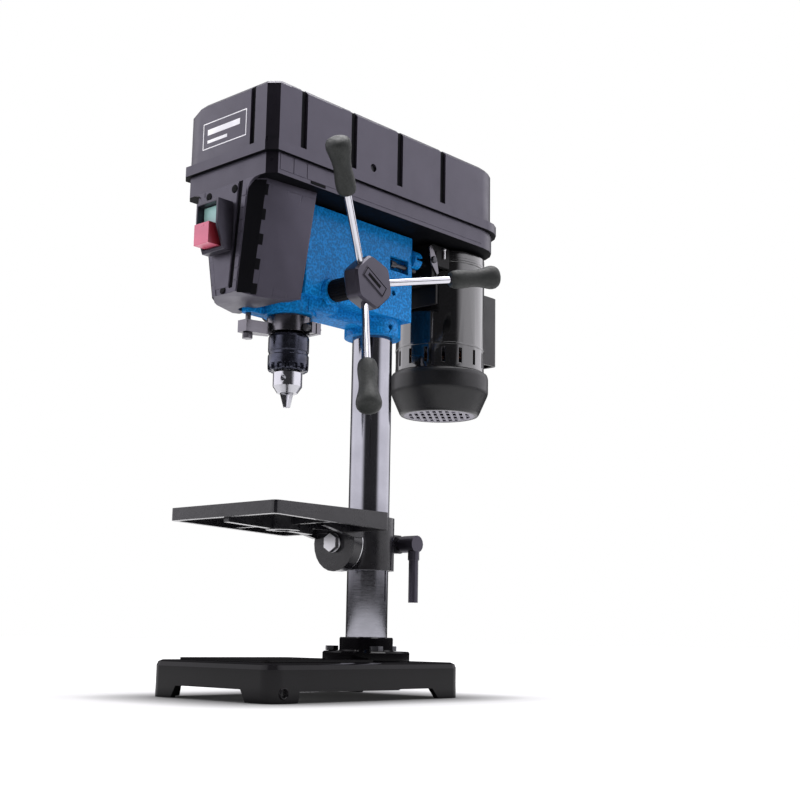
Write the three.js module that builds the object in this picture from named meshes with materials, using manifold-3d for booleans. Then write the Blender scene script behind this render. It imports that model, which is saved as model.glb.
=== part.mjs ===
// Bench drill press with a five-step belt drive. Millimetres, +Z up, front towards -Y,
// feed levers on the +X side. Shapes are drawn about the column axis and moved at the end
// so that the origin lies under the middle of the whole press.
import * as THREE from "three";
import { mergeVertices, toCreasedNormals } from "three/addons/utils/BufferGeometryUtils.js";
import Module from "manifold-3d";

// ---- driving dimensions -------------------------------------------------------------
const GAP = 0.3;                                  // clearance between separate pieces
const ORIGIN = [31.1, -27];                         // middle of the press, from the column axis
const BASE = { w: 184, y0: -223, y1: 55, h: 37, wall: 6, corner: 16, round: 6, pad: 2.5 };
const COLUMN = { r: 23, wall: 4, z0: 37.6, z1: 512 };
const FLANGE = { r: 48, hub: 29.5, t: 10, top: 62.3, boltR: 39 };
const TABLE = { w: 163, y0: -215, y1: -52.5, top: 191.5, plate: 7, front: 13, rear: 18.5 };
const TILT = { z: 163, lugR: 31, lugY0: -54, lugY1: -41 };
const COLLAR = { r: 29, z0: 135, z1: 193.5, earX: 13, screwY: 38.5, screwZ: 166 };
const SPINDLE_Y = -130;
const QUILL = { r: 20, z0: 382, z1: 508, pitch: 16.5 };
const FEED = { y: -104, z: 428, pitchR: 9.5, teeth: 19 };
const HEAD = { x: 36, y0: -142, y1: 28, z0: 419.5, z1: 519.5 };
const CASE = { z0: 523, split: 546, rim: 557, top: 624, w: 70.5, y0: -225, y1: 158.5, corner: 43 };
const LID = { w: 72, y0: -227, y1: 155.5, rimW: 74.5, rimY0: -229.5, rimY1: 164, wall: 3 };
const MOTOR = { y: 119.5, r: 54, z0: 378, z1: 519, bellR: 59 };
const STEP_R_SPINDLE = [41, 37, 33, 28.5, 24];  // bottom step first
const STEP_R_MOTOR = [15, 19, 23.5, 27.5, 30.5];
const STEP_H = 13;
const PULLEY_Z = 534;
const BAR = { x: 30, z: 496, r: 5 };
const JAW_TRAVEL = 7;                             // from closed to fully open
const LEVER = { x: 85.5, tilt: 20.6, rodR: 4, angles: [-41.5, 78.5, 198.5] };

// ---- tools ----------------------------------------------------------------------------
const wasm = await Module();
wasm.setup();

function solid(geometry) {
  const g = geometry.clone();
  g.deleteAttribute("normal");
  g.deleteAttribute("uv");
  const m = mergeVertices(g, 1e-4);
  const raw = m.index.array;
  const tris = [];
  for (let i = 0; i < raw.length; i += 3) {
    const [a, b, c] = [raw[i], raw[i + 1], raw[i + 2]];
    if (a !== b && b !== c && a !== c) tris.push(a, b, c);
  }
  return new wasm.Manifold(new wasm.Mesh({
    numProp: 3,
    vertProperties: new Float32Array(m.attributes.position.array),
    triVerts: new Uint32Array(tris),
  }));
}

function surface(body) {
  const mesh = body.getMesh();
  const g = new THREE.BufferGeometry();
  g.setAttribute("position", new THREE.BufferAttribute(new Float32Array(mesh.vertProperties), 3));
  g.setIndex(new THREE.BufferAttribute(new Uint32Array(mesh.triVerts), 1));
  return g;
}

const join = (...bodies) => bodies.reduce((a, b) => a.add(b));
const cut = (body, ...tools) => tools.reduce((a, b) => a.subtract(b), body);

function box(x0, x1, y0, y1, z0, z1) {
  const g = new THREE.BoxGeometry(x1 - x0, y1 - y0, z1 - z0);
  g.translate((x0 + x1) / 2, (y0 + y1) / 2, (z0 + z1) / 2);
  return solid(g);
}

// Enough sides to keep a round pin clear of the round hole it sits in.
const sides = (r, most) => Math.min(most, r < 3.6 ? 8 : r < 8.8 ? 12 : r < 15.6 ? 16 : r < 23.5 ? 20 : 24);

// Upright cylinder or cone between two heights.
function cylZ(r, z0, z1, x = 0, y = 0, seg = 24, r2 = r) {
  const g = new THREE.CylinderGeometry(r2, r, z1 - z0, sides(Math.max(r, r2), seg));
  g.rotateX(Math.PI / 2).translate(x, y, (z0 + z1) / 2);
  return solid(g);
}

function cylX(r, x0, x1, y, z, seg = 20, r2 = r) {
  const g = new THREE.CylinderGeometry(r2, r, x1 - x0, sides(Math.max(r, r2), seg));
  g.rotateZ(-Math.PI / 2).translate((x0 + x1) / 2, y, z);
  return solid(g);
}

function cylY(r, y0, y1, x, z, seg = 24, r2 = r) {
  const g = new THREE.CylinderGeometry(r2, r, y1 - y0, sides(Math.max(r, r2), seg));
  g.translate(x, (y0 + y1) / 2, z);
  return solid(g);
}

const tubeZ = (ro, ri, z0, z1, x = 0, y = 0, seg = 28) =>
  cut(cylZ(ro, z0, z1, x, y, seg), cylZ(ri, z0 - 1, z1 + 1, x, y, seg));

// Revolved profile of [radius, z] pairs about an upright axis at (x, y).
function lathe(profile, x = 0, y = 0, seg = 28) {
  const most = sides(Math.max(...profile.map((p) => p[0])), seg);
  const g = new THREE.LatheGeometry(profile.map((p) => new THREE.Vector2(p[0], p[1])), most);
  g.rotateX(Math.PI / 2).translate(x, y, 0);
  const s = solid(g);
  return s.volume() < 0 ? solid(flipped(g)) : s;
}

function flipped(geometry) {
  const g = geometry.clone();
  const index = g.index.array;
  for (let i = 0; i < index.length; i += 3) [index[i], index[i + 1]] = [index[i + 1], index[i]];
  return g;
}

function polygon(points) {
  const s = new THREE.Shape();
  points.forEach(([x, y], i) => (i ? s.lineTo(x, y) : s.moveTo(x, y)));
  s.closePath();
  return s;
}

// Outline in plan, drawn between two heights.
function slab(points, z0, z1) {
  const g = new THREE.ExtrudeGeometry(polygon(points), { depth: z1 - z0, bevelEnabled: false });
  return solid(g.translate(0, 0, z0));
}

// Outline in the YZ plane, drawn along X; points are [y, z].
function slabX(points, x0, x1) {
  const g = new THREE.ExtrudeGeometry(polygon(points), { depth: x1 - x0, bevelEnabled: false });
  g.applyMatrix4(new THREE.Matrix4().set(0, 0, 1, x0, 1, 0, 0, 0, 0, 1, 0, 0, 0, 0, 0, 1));
  return solid(g);
}

// Outline in the XZ plane, drawn along Y; points are [x, z].
function slabY(points, y0, y1) {
  const g = new THREE.ExtrudeGeometry(polygon(points), { depth: y1 - y0, bevelEnabled: false });
  g.applyMatrix4(new THREE.Matrix4().set(1, 0, 0, 0, 0, 0, -1, y1, 0, 1, 0, 0, 0, 0, 0, 1));
  return solid(g);
}

// Plan outline of a rectangle whose front corners are chamfered or rounded and rear rounded.
// A pair for chamfer gives the front left corner its own size.
function outline(x0, x1, y0, y1, front, rear, steps = 4, chamfer = false) {
  const pts = [];
  const corner = (cx, cy, r, a0) => {
    const n = r < 0.01 ? 0 : steps;
    for (let i = 0; i <= n; i++) {
      const a = a0 + (n ? (i / n) * Math.PI / 2 : 0);
      pts.push([cx + r * Math.cos(a), cy + r * Math.sin(a)]);
    }
  };
  if (chamfer) {
    const [lx, ly] = chamfer === true ? [front, front * 0.8] : chamfer;
    pts.push([x0, y0 + ly], [x0 + lx, y0], [x1 - front, y0], [x1, y0 + front * 0.8]);
  } else {
    corner(x0 + front, y0 + front, front, Math.PI);
    corner(x1 - front, y0 + front, front, 1.5 * Math.PI);
  }
  corner(x1 - rear, y1 - rear, rear, 0);
  corner(x0 + rear, y1 - rear, rear, 0.5 * Math.PI);
  return pts;
}

// Body between two plan outlines with the same number of points, bottom one first.
function loft(bottom, z0, top, z1) {
  const g = new THREE.ExtrudeGeometry(polygon(bottom), { depth: 1, bevelEnabled: false });
  const p = g.attributes.position;
  const key = (x, y) => `${x.toFixed(3)},${y.toFixed(3)}`;
  const rows = new Map(bottom.map(([x, y], i) => [key(x, y), i]));
  for (let i = 0; i < p.count; i++) {
    const k = rows.get(key(p.getX(i), p.getY(i)));
    if (p.getZ(i) > 0.5) p.setXYZ(i, top[k][0], top[k][1], z1);
    else p.setZ(i, z0);
  }
  return solid(g);
}

// Slab with its top edge rounded over.
function domed(x0, x1, y0, y1, corner, z0, z1, round, steps = 4) {
  const ring = (inset) => outline(x0 + inset, x1 - inset, y0 + inset, y1 - inset,
    corner - inset, corner - inset, steps);
  let body = slab(ring(0), z0, z1 - round);
  const levels = 2;
  for (let i = 0; i < levels; i++) {
    const [a, b] = [i / levels, (i + 1) / levels].map((t) => t * Math.PI / 2);
    body = body.add(loft(ring(round * (1 - Math.cos(a))), z1 - round + round * Math.sin(a) - (i ? 0 : 0.01),
      ring(round * (1 - Math.cos(b))), z1 - round + round * Math.sin(b)));
  }
  return body;
}

const hexZ = (af, z0, z1, x, y) => cylZ(af / Math.sqrt(3), z0, z1, x, y, 6);
const hexY = (af, y0, y1, x, z) => cylY(af / Math.sqrt(3), y0, y1, x, z, 6);
const hexX = (af, x0, x1, y, z) => cylX(af / Math.sqrt(3), x0, x1, y, z, 6);

const press = new THREE.Group();
press.name = "bench_drill_press";

function piece(name, body, colour, roughness, metalness) {
  let g = surface(body);
  g.translate(-ORIGIN[0], -ORIGIN[1], 0);
  g = toCreasedNormals(g, 0.6);
  const mesh = new THREE.Mesh(g, new THREE.MeshStandardMaterial({ color: colour, roughness, metalness }));
  mesh.name = name;
  press.add(mesh);
}

// ---- stand ------------------------------------------------------------------------------
function baseCasting() {
  const { w, y0, y1, h, wall, corner, round, pad } = BASE;
  let body = domed(-w / 2, w / 2, y0, y1, corner, 0, h, round);
  body = body.add(slab(outline(-68, 68, y0 + 16, -56, 7, 7, 3), h - 1, h + pad));
  const hollow = slab(outline(-w / 2 + wall, w / 2 - wall, y0 + wall, y1 - wall, 11, 11, 3), -1, h - 7);
  const feet = [[-72, -202], [72, -202], [-72, 34], [72, 34]];
  const bosses = feet.map(([x, y]) => cylZ(13, 14, h - 6, x, y, 16));
  body = cut(body, hollow);
  body = join(body, ...bosses, cylZ(46, 22, h - 6, 0, 0, 32), box(-3, 3, y0 + 4, y1 - 4, 18, h - 6));
  body = cut(body, ...feet.map(([x, y]) => cylZ(4.5, -1, h + 4, x, y, 12)));
  const front = [[-57, -1], [57, -1], [49, 12], [-49, 12]];
  const side = [[-188, -1], [17, -1], [6, 10.5], [-44, 10.5], [-46, 9.5], [-186, 10.5]];
  body = cut(body, slabY(front, y0 - 1, y0 + wall + 1), slabY(front, y1 - wall - 1, y1 + 1));
  body = cut(body, slabX(side, -w / 2 - 1, -w / 2 + wall + 1), slabX(side, w / 2 - wall - 1, w / 2 + 1));
  const slot = (x) => slab(outline(x - 6, x + 6, -186, -76, 5.9, 5.9, 3), 10, h + pad + 1);
  body = cut(body, slot(-36), slot(36));
  return cut(body, ...boltSpots().map(([x, y]) => cylZ(4.3, 10, h + 4, x, y, 12)));
}

const boltSpots = () => [90, 210, 330].map((a) => {
  const t = (a * Math.PI) / 180;
  return [FLANGE.boltR * Math.cos(t), FLANGE.boltR * Math.sin(t)];
});

function columnFlange() {
  const z = BASE.h + GAP;
  const r = COLUMN.r + GAP;
  const body = lathe([[r, z], [FLANGE.r, z], [FLANGE.r, z + FLANGE.t - 1.5], [FLANGE.r - 1.5, z + FLANGE.t],
    [FLANGE.hub + 1.5, z + FLANGE.t], [FLANGE.hub, z + FLANGE.t + 1.5], [FLANGE.hub, FLANGE.top - 1],
    [FLANGE.hub - 1, FLANGE.top], [r, FLANGE.top], [r, z]], 0, 0, 32);
  return cut(body, ...boltSpots().map(([x, y]) => cylZ(4.3, z - 1, z + FLANGE.t + 1, x, y, 12)));
}

function stand() {
  piece("base_casting", baseCasting(), "#17171b", 0.35, 0.2);
  piece("column_flange", columnFlange(), "#1b1b20", 0.45, 0.2);
  boltSpots().forEach(([x, y], i) => {
    const z = BASE.h + FLANGE.t + 2 * GAP;
    const bolt = join(hexZ(13, z, z + 5.3, x, y), cylZ(4, 22, z + 1, x, y, 12));
    piece(`flange_bolt_${i + 1}`, bolt, "#2a2a2e", 0.35, 0.8);
  });
  piece("column_tube", tubeZ(COLUMN.r, COLUMN.r - COLUMN.wall, COLUMN.z0, COLUMN.z1, 0, 0, 32),
    "#c9c9cf", 0.2, 1);
}

// ---- table ------------------------------------------------------------------------------
function tableBracket() {
  const { r, z0, z1, earX, screwY, screwZ } = COLLAR;
  const boss = cylY(15, -39.7, -20, 0, TILT.z, 32);
  const ear = join(box(-earX, earX, 20, screwY + 2, 156, 176.5),
    cylX(10.2, -earX, earX, screwY, screwZ, 28));
  let body = join(cylZ(r, z0, z1, 0, 0, 28), boss, ear);
  body = cut(body, cylZ(COLUMN.r + 1.6, z0 - 1, z1 + 1, 0, 0, 28), box(-1.5, 1.5, 18, 60, z0 - 1, z1 + 1));
  return cut(body, cylX(4.4, -30, 30, screwY, screwZ, 16), cylY(6.3, -60, -20, 0, TILT.z, 20));
}

function tablePlate() {
  const { w, y0, y1, top, plate, front, rear } = TABLE;
  const yc = SPINDLE_Y;
  let body = slab(outline(-w / 2, w / 2, y0, y1, 6, 6, 3), top - rear - 2, top);
  const under = [[y0 - 1, top - rear - 3], [y1 + 1, top - rear - 3], [y1 + 1, top - rear],
    [y0 - 1, top - front]];
  body = cut(body, slabX(under, -w, w));
  body = cut(body, slab(outline(-w / 2 + 6, w / 2 - 6, y0 + 6, y1 - 6, 4, 4, 2), top - 30, top - plate));
  const rib = slabX([[y0 + 8, top - plate + 1], [y0 + 8, 174], [-62, 168], [TILT.lugY1 - 0.5, 168],
    [TILT.lugY1 - 0.5, top - plate + 1]], -4, 4);
  const wing = slabX([[-104, top - plate + 1], [-104, top - 13], [-56, 168], [TILT.lugY1 - 0.5, 168],
    [TILT.lugY1 - 0.5, top - plate + 1]], -32, 32);
  const hollowWing = box(-26, 26, -120, TILT.lugY0 + 0.02, 140, 183);
  body = join(body, cut(wing, hollowWing), rib, cylY(TILT.lugR, TILT.lugY0, TILT.lugY1, 0, TILT.z, 28),
    cylZ(18, 171, top - plate + 1, 0, yc, 28),
    box(-w / 2 + 4, w / 2 - 4, yc - 3, yc + 3, top - 15, top - plate + 1));
  body = cut(body, box(-60, 60, -80, -30, top, top + 20), cylZ(8.5, 150, top + 1, 0, yc, 28));
  const slot = (a) => {
    const g = new THREE.BoxGeometry(34, 11, 28);
    g.translate(47, 0, 0).rotateZ((a * Math.PI) / 180).translate(0, yc, top);
    return solid(g);
  };
  body = cut(body, ...[45, 135, 225, 315].map(slot));
  return cut(body, cylY(6.4, -80, -30, 0, TILT.z, 20), cylY(13.5, -90, TILT.lugY0 - 0.1, 0, TILT.z, 24));
}

function table() {
  piece("column_bushing", cut(tubeZ(COLUMN.r + 1.3, COLUMN.r + GAP, COLLAR.z0 + 1, COLLAR.z1 - 1, 0, 0, 28),
    box(-1.5, 1.5, 10, 40, 100, 200)), "#3a3a3e", 0.6, 0.1);
  piece("table_bracket", tableBracket(), "#1d1d22", 0.4, 0.2);
  piece("table_plate", tablePlate(), "#1a1a1f", 0.38, 0.2);
  const [y, z] = [COLLAR.screwY, COLLAR.screwZ];
  piece("table_clamp_screw", join(hexX(13, -20, -13.6, y, z), cylX(4, -14, 30, y, z, 16)),
    "#2a2a2e", 0.35, 0.8);
  const lever = join(cylX(7, 13.4, 20, y, z, 24), cylX(9.6, 19, 39.5, y, z, 24),
    cylZ(6.6, 148, 158, 34, y, 20), cylZ(5.5, 101, 150, 34, y, 20));
  piece("table_clamp_lever", cut(lever, cylX(4.3, 10, 31, y, z, 16)), "#1b1b1f", 0.5, 0);
  piece("table_tilt_bolt", join(hexY(18, -61, -55.5, 0, TILT.z), cylY(10.6, -55.6, -54.3, 0, TILT.z, 28),
    cylY(6, -55, -29, 0, TILT.z, 20)),
    "#c8c8cc", 0.28, 1);
}

// ---- head -------------------------------------------------------------------------------
function headCasting() {
  const { x, y0, y1, z0, z1 } = HEAD;
  let body = slab(outline(-x, x, y0, y1, 3, 3, 2), z0, z1);
  const web = [[-128, z0 + 0.1], [-128, 404], [-90, 407], [-25, 407.5], [-25, z0 + 0.1]];
  const cheek = [[-130, z0 + 0.1], [-130, 404], [-92, 406], [-82, z0 + 0.1]];
  const barEar = (s) => cut(cylY(11, y1 - 1, y1 + 11, s * BAR.x, BAR.z, 20),
    box(Math.min(0, s * 60), Math.max(0, s * 60), y1 + 0.5, y1 + 20, BAR.z - 2, BAR.z + 2));
  body = join(body, cylZ(32.5, 400, z1, 0, 0, 28), cylZ(29, 400, z1, 0, SPINDLE_Y, 28),
    slabX(web, -14, 14), slabX(cheek, -30, 30), barEar(1), barEar(-1),
    cylX(14.6, x - 1, 42, FEED.y, FEED.z, 28), cylX(17, -x - 6, -x + 1, FEED.y, FEED.z, 28),
    cylZ(7, 400, 410, -18, -173, 20), box(-25, -11, -173, -148, 400, 410));
  body = cut(body, box(-x + 8, x - 8, -78, -38, z0 + 9, z1 + 1), box(x - 10, x + 1, -11, 20, 474, 491),
    box(-x - 1, -x + 10, -11, 20, 474, 491));
  body = cut(body, cylZ(COLUMN.r + GAP, 390, 515, 0, 0, 32), cylZ(19, 500, z1 + 1, 0, 0, 32),
    cylZ(QUILL.r + GAP, 390, 511, 0, SPINDLE_Y, 32), cylZ(16, 500, z1 + 1, 0, SPINDLE_Y, 32));
  const pinion = cylX(11.2, -9, x + 10, FEED.y, FEED.z, 28);
  body = cut(body, pinion, cylX(7.4, -60, 60, FEED.y, FEED.z, 20), cylZ(3.4, 390, 420, -18, -173, 16));
  body = cut(body, ...[-1, 1].map((s) => cylY(BAR.r + GAP, -36, y1 + 15, s * BAR.x, BAR.z, 16)));
  body = cut(body, cylX(3.3, 20, x + 1, -4, 448, 12), cylX(3.3, 20, x + 1, -4, 409, 12));
  return cut(body, box(-2, 2, -175, -150, 512, 512.5), cylY(3.3, 5, y1 + 20, 31.3, 483, 12));
}

function quill() {
  const { r, z0, z1 } = QUILL;
  let body = cylZ(r, z0, z1, 0, SPINDLE_Y, 32);
  const tip = FEED.y - FEED.pitchR + 1;            // rack teeth point to +Y, this is their crest
  body = cut(body, box(-7, 7, tip - 3.2, SPINDLE_Y + r + 1, 404, 505));
  const pitch = (2 * Math.PI * FEED.pitchR) / FEED.teeth;
  const teeth = [];
  for (let i = -8; i <= 22; i++) {
    const z = FEED.z + (i + 0.5) * pitch;
    if (z < 406 || z > 503) continue;
    teeth.push(slabX([[tip - 3.4, z - 0.95], [tip - 0.25, z - 0.35], [tip - 0.25, z + 0.35],
      [tip - 3.4, z + 0.95]], -6.9, 6.9));
  }
  body = join(body, ...teeth);
  return cut(body, cylZ(9, z0 - 1, z1 + 1, 0, SPINDLE_Y, 32), cylZ(14.3, z0 - 1, z0 + 10, 0, SPINDLE_Y, 32),
    cylZ(14.3, z1 - 10, z1 + 1, 0, SPINDLE_Y, 32));
}

function feedShaft() {
  const { y, z, pitchR, teeth } = FEED;
  const pts = [];
  for (let i = 0; i < teeth; i++) {
    const a = ((i + 0.0) / teeth) * 2 * Math.PI + Math.PI;
    const d = (2 * Math.PI) / teeth;
    const [root, crest] = [pitchR - 1.25, pitchR + 0.7];
    for (const [r, k] of [[root, -0.34], [crest, -0.13], [crest, 0.13], [root, 0.34]]) {
      pts.push([y + r * Math.cos(a + k * d), z + r * Math.sin(a + k * d)]);
    }
  }
  return join(slabX(pts, -6.6, 6.6), cylX(7, -56, 0, y, z, 20), cylX(7, -0.1, 84, y, z, 20));
}

function rodAt(angle, r, d0, d1, r2 = r, seg = 20) {
  const g = new THREE.CylinderGeometry(r2, r, d1 - d0, seg);
  g.translate(0, (d0 + d1) / 2, 0);
  return solid(placed(g, angle));
}

// Takes a shape drawn along +Y from the hub centre to the direction of one feed lever.
function placed(g, angle) {
  const t = (LEVER.tilt * Math.PI) / 180;
  const a = (angle * Math.PI) / 180;
  const dir = new THREE.Vector3(Math.sin(t), Math.cos(t) * Math.sin(a), Math.cos(t) * Math.cos(a));
  g.applyQuaternion(new THREE.Quaternion().setFromUnitVectors(new THREE.Vector3(0, 1, 0), dir));
  return g.translate(LEVER.x, FEED.y, FEED.z);
}

function knob(angle) {
  const profile = [[0, 105], [5.5, 105], [8.6, 108], [10.3, 115], [10.2, 121], [9.3, 132], [9.9, 141],
    [12.2, 151], [13.4, 157.5], [12.4, 162.5], [8.5, 165.6], [0, 166.6]];
  const g = new THREE.LatheGeometry(profile.map((p) => new THREE.Vector2(p[0], p[1])), 14);
  const body = solid(placed(g, angle));
  return cut(body, rodAt(angle, LEVER.rodR + GAP, 90, 134, LEVER.rodR + GAP, 10));
}

// Six-sided outline with rounded corners, [y, z] points about the feed axis.
function hubOutline(r, round = 7.5) {
  const pts = [];
  for (let i = 0; i < 6; i++) {
    const a = ((101.5 + 60 * i) * Math.PI) / 180;
    const d = r - round / Math.cos(Math.PI / 6);
    const [cy, cz] = [FEED.y + d * Math.cos(a), FEED.z + d * Math.sin(a)];
    for (const k of [-1, 0, 1]) {
      const t = a + (k * Math.PI) / 6;
      pts.push([cy + round * Math.cos(t), cz + round * Math.sin(t)]);
    }
  }
  return pts;
}

function feedHub() {
  const { y, z } = FEED;
  const back = wasm.Manifold.hull([slabX(hubOutline(26.5), 79.5, 80), slabX(hubOutline(29.6), 83, 98)]);
  const face = wasm.Manifold.hull([slabX(hubOutline(29.6), 97, 98), slabX(hubOutline(27.4), 100, 101)]);
  const body = cut(join(back, face, cylX(11.6, 42.4, 80, y, z, 28)), cylX(7.3, 40, 86, y, z, 20),
    hubPlate(0.3, 100, 103));
  return cut(body, ...LEVER.angles.map((a) => rodAt(a, LEVER.rodR + GAP, 12.5, 60, LEVER.rodR + GAP, 10)));
}

// Blank plate let into the front of the hub.
function hubPlate(grow, x0, x1) {
  const t = (-31.5 * Math.PI) / 180;
  const [c, s] = [Math.cos(t), Math.sin(t)];
  const at = (u, v) => [FEED.y + u * c - v * s, FEED.z + u * s + v * c];
  const [u, v] = [17.5 + grow, 6.4 + grow];
  return slabX([at(-u, -v), at(u, -v), at(u, v), at(-u, v)], x0, x1);
}

function feed() {
  piece("feed_shaft", feedShaft(), "#8d8d92", 0.35, 0.9);
  piece("feed_hub", feedHub(), "#202024", 0.5, 0);
  piece("feed_hub_cap", hubPlate(0, 100.3, 101.9), "#26262b", 0.45, 0);
  LEVER.angles.forEach((a, i) => {
    piece(`feed_lever_rod_${i + 1}`, rodAt(a, LEVER.rodR, 13, 133, LEVER.rodR, 12), "#d4d4d8", 0.15, 1);
    piece(`feed_lever_knob_${i + 1}`, knob(a), "#4b504d", 0.6, 0);
  });
  const { y, z } = FEED;
  const cup = cut(cylX(23, -HEAD.x - 22, -HEAD.x - 6.4, y, z, 32),
    cylX(20.5, -HEAD.x - 20, -HEAD.x, y, z, 32));
  piece("return_spring_cup", cut(cup, cylX(4.3, -70, -40, y, z, 16)), "#1c1c20", 0.45, 0.1);
  piece("return_spring", spiral(y, z), "#55585c", 0.35, 0.9);
}

// Flat strip wound round the feed shaft inside its cup.
function spiral(y, z) {
  const [turns, n, t] = [3.2, 38, 0.7];
  const line = (off) => Array.from({ length: n + 1 }, (_, i) => {
    const a = (i / n) * turns * 2 * Math.PI;
    const r = 9 + (i / n) * 10.4 + off;
    return [y + r * Math.cos(a), z + r * Math.sin(a)];
  });
  return slabX([...line(0), ...line(t).reverse()], -HEAD.x - 17, -HEAD.x - 8);
}

// ---- spindle ----------------------------------------------------------------------------
function chuckBody() {
  const body = lathe([[0, 376], [13, 376], [13, 340], [15.8, 338.4], [15.8, 324], [14.8, 322.6],
    [10.8, 316.6], [0, 316.6]], 0, SPINDLE_Y, 28);
  return cut(body, cylZ(8.2, 352, 380, 0, SPINDLE_Y, 24), cylZ(5.4, 312, 353, 0, SPINDLE_Y, 18),
    ...[0, 120, 240].map((a) => jawBar(a, 0.35, JAW_TRAVEL)), ...[60, 180, 300].map(keyHole));
}

function keyHole(a) {
  const g = new THREE.CylinderGeometry(3, 3, 12, 14);
  g.rotateZ(Math.PI / 2).translate(14, 0, 331).rotateZ((a * Math.PI) / 180).translate(0, SPINDLE_Y, 0);
  return solid(g);
}

// One chuck jaw: a slanted bar whose inner face is upright at the nose.
function jawBar(a, grow = 0, travel = 0) {
  const [out, up] = [travel * 0.192, travel * 0.981];
  const pts = [[0.5 - grow, 301.4 - grow], [3.1 + grow * 0.3, 301.4 - grow], [7.2 + grow, 315.5],
    [11.4 + grow + out, 337 + grow + up], [6.6 - grow, 337 + grow + up], [0.5 - grow, 316]];
  const g = new THREE.ExtrudeGeometry(polygon(pts), { depth: 4.6 + 2 * grow, bevelEnabled: false });
  g.translate(0, 0, -2.3 - grow).rotateX(Math.PI / 2);
  g.rotateZ((a * Math.PI) / 180).translate(0, SPINDLE_Y, 0);
  return solid(g);
}

function jaw(a) {
  const wedge = (s) => {
    const g = new THREE.BoxGeometry(12, 12, 60);
    g.translate(-5.84, 0, 320).rotateZ(s * Math.PI / 6);
    g.rotateZ((a * Math.PI) / 180).translate(0, SPINDLE_Y, 0);
    return solid(g);
  };
  return cut(jawBar(a), wedge(1), wedge(-1));
}

function chuckSleeve() {
  const body = lathe([[13.4, 340.2], [17.6, 340.2], [22, 347.5], [22, 357], [21, 357.8], [21, 361],
    [22, 361.8], [22, 378.5], [20.5, 380.6], [13.4, 380.6], [13.4, 340.2]], 0, SPINDLE_Y, 32);
  const teeth = [];
  for (let i = 0; i < 16; i++) {
    const g = new THREE.BoxGeometry(8, 2.2, 7);
    g.translate(22.6, 0, 340.5).rotateZ((i / 16) * 2 * Math.PI).translate(0, SPINDLE_Y, 0);
    teeth.push(solid(g));
  }
  return cut(body, ...teeth);
}

function depthCollar() {
  const y = SPINDLE_Y;
  const arm = slab([[-12, y - 12], [-4, y - 20], [-10, y - 42], [-11, y - 51], [-25, y - 51],
    [-25, y - 38]], 378, 391);
  const ear = box(17, 33.5, y + 2, y + 15, 379, 391);
  let body = join(cylZ(24.5, 381.5, 398, 0, y, 28), arm, ear);
  body = cut(body, cylZ(QUILL.r + GAP, 370, 400, 0, y, 28), cylZ(22.8, 370, 381.5, 0, y, 28),
    box(17, 40, y + 7.4, y + 9, 370, 400));
  return cut(body, cylZ(3.5, 370, 400, -18, -173, 16), cylY(2.4, y - 4, y + 20, 29.2, 385, 12));
}

function spindleGroup() {
  const y = SPINDLE_Y;
  piece("quill", quill(), "#a9a9af", 0.25, 1);
  const bearing = (z) => tubeZ(14, 8.3, z, z + 9.4, 0, y, 24);
  piece("quill_bearing_lower", bearing(QUILL.z0 + 0.3), "#a0a0a6", 0.3, 1);
  piece("quill_bearing_upper", bearing(QUILL.z1 - 9.7), "#a0a0a6", 0.3, 1);
  const spindle = [[0, 353.4], [7, 353.4], [8, 376], [8, 520], [6.5, 521], [6.5, 598], [0, 598]];
  piece("spindle", lathe(spindle, 0, y, 24), "#b5b5ba", 0.25, 1);
  piece("chuck_body", chuckBody(), "#cfcfd3", 0.2, 1);
  piece("chuck_sleeve", chuckSleeve(), "#3b3a40", 0.4, 0.7);
  [0, 120, 240].forEach((a, i) => piece(`chuck_jaw_${i + 1}`, jaw(a), "#d8d8dc", 0.2, 1));
  piece("depth_stop_collar", depthCollar(), "#8f8f96", 0.35, 0.8);
  const rod = join(cylZ(3, 377, 492, -18, -173, 16), hexZ(10, 371.5, 377.6, -18, -173));
  piece("depth_stop_rod", rod, "#77777d", 0.35, 0.9);
  piece("depth_stop_nut", cut(hexZ(11, 461, 470, -18, -173), cylZ(3.3, 450, 480, -18, -173, 16)),
    "#6d6d73", 0.35, 0.9);
  const clamp = join(cylY(4.2, y - 4, y + 1.6, 29.2, 385, 16), cylY(2.1, y + 1, y + 18, 29.2, 385, 12));
  piece("depth_collar_screw", clamp, "#26262a", 0.35, 0.8);
}

// ---- drive ------------------------------------------------------------------------------
function steppedPulley(radii, y, bore, hubLow) {
  const z = PULLEY_Z;
  const profile = [[bore, z - hubLow], [bore + 6, z - hubLow], [bore + 6, z]];
  radii.forEach((r, i) => {
    const a = z + i * STEP_H;
    profile.push([r, a], [r, a + 1.6], [r - 5.5, a + 4.4], [r - 5.5, a + 8.6], [r, a + 11.4]);
  });
  profile.push([bore, z + radii.length * STEP_H], [bore, z - hubLow]);
  return lathe(profile, 0, y, 16);
}

// Runs round two grooves: the outer line when grow is the belt's thickness.
function beltLine(r1, r2, grow) {
  const d = MOTOR.y - SPINDLE_Y;
  const tilt = Math.asin((r1 - r2) / d);
  const arc = (cy, r, a0, a1, n = 11) => Array.from({ length: n + 1 }, (_, i) => {
    const a = a0 + ((a1 - a0) * i) / n;
    return [(r + grow) * Math.cos(a), cy + (r + grow) * Math.sin(a)];
  });
  return [...arc(MOTOR.y, r2, tilt, Math.PI - tilt),
    ...arc(SPINDLE_Y, r1, Math.PI - tilt, 2 * Math.PI + tilt)];
}

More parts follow.
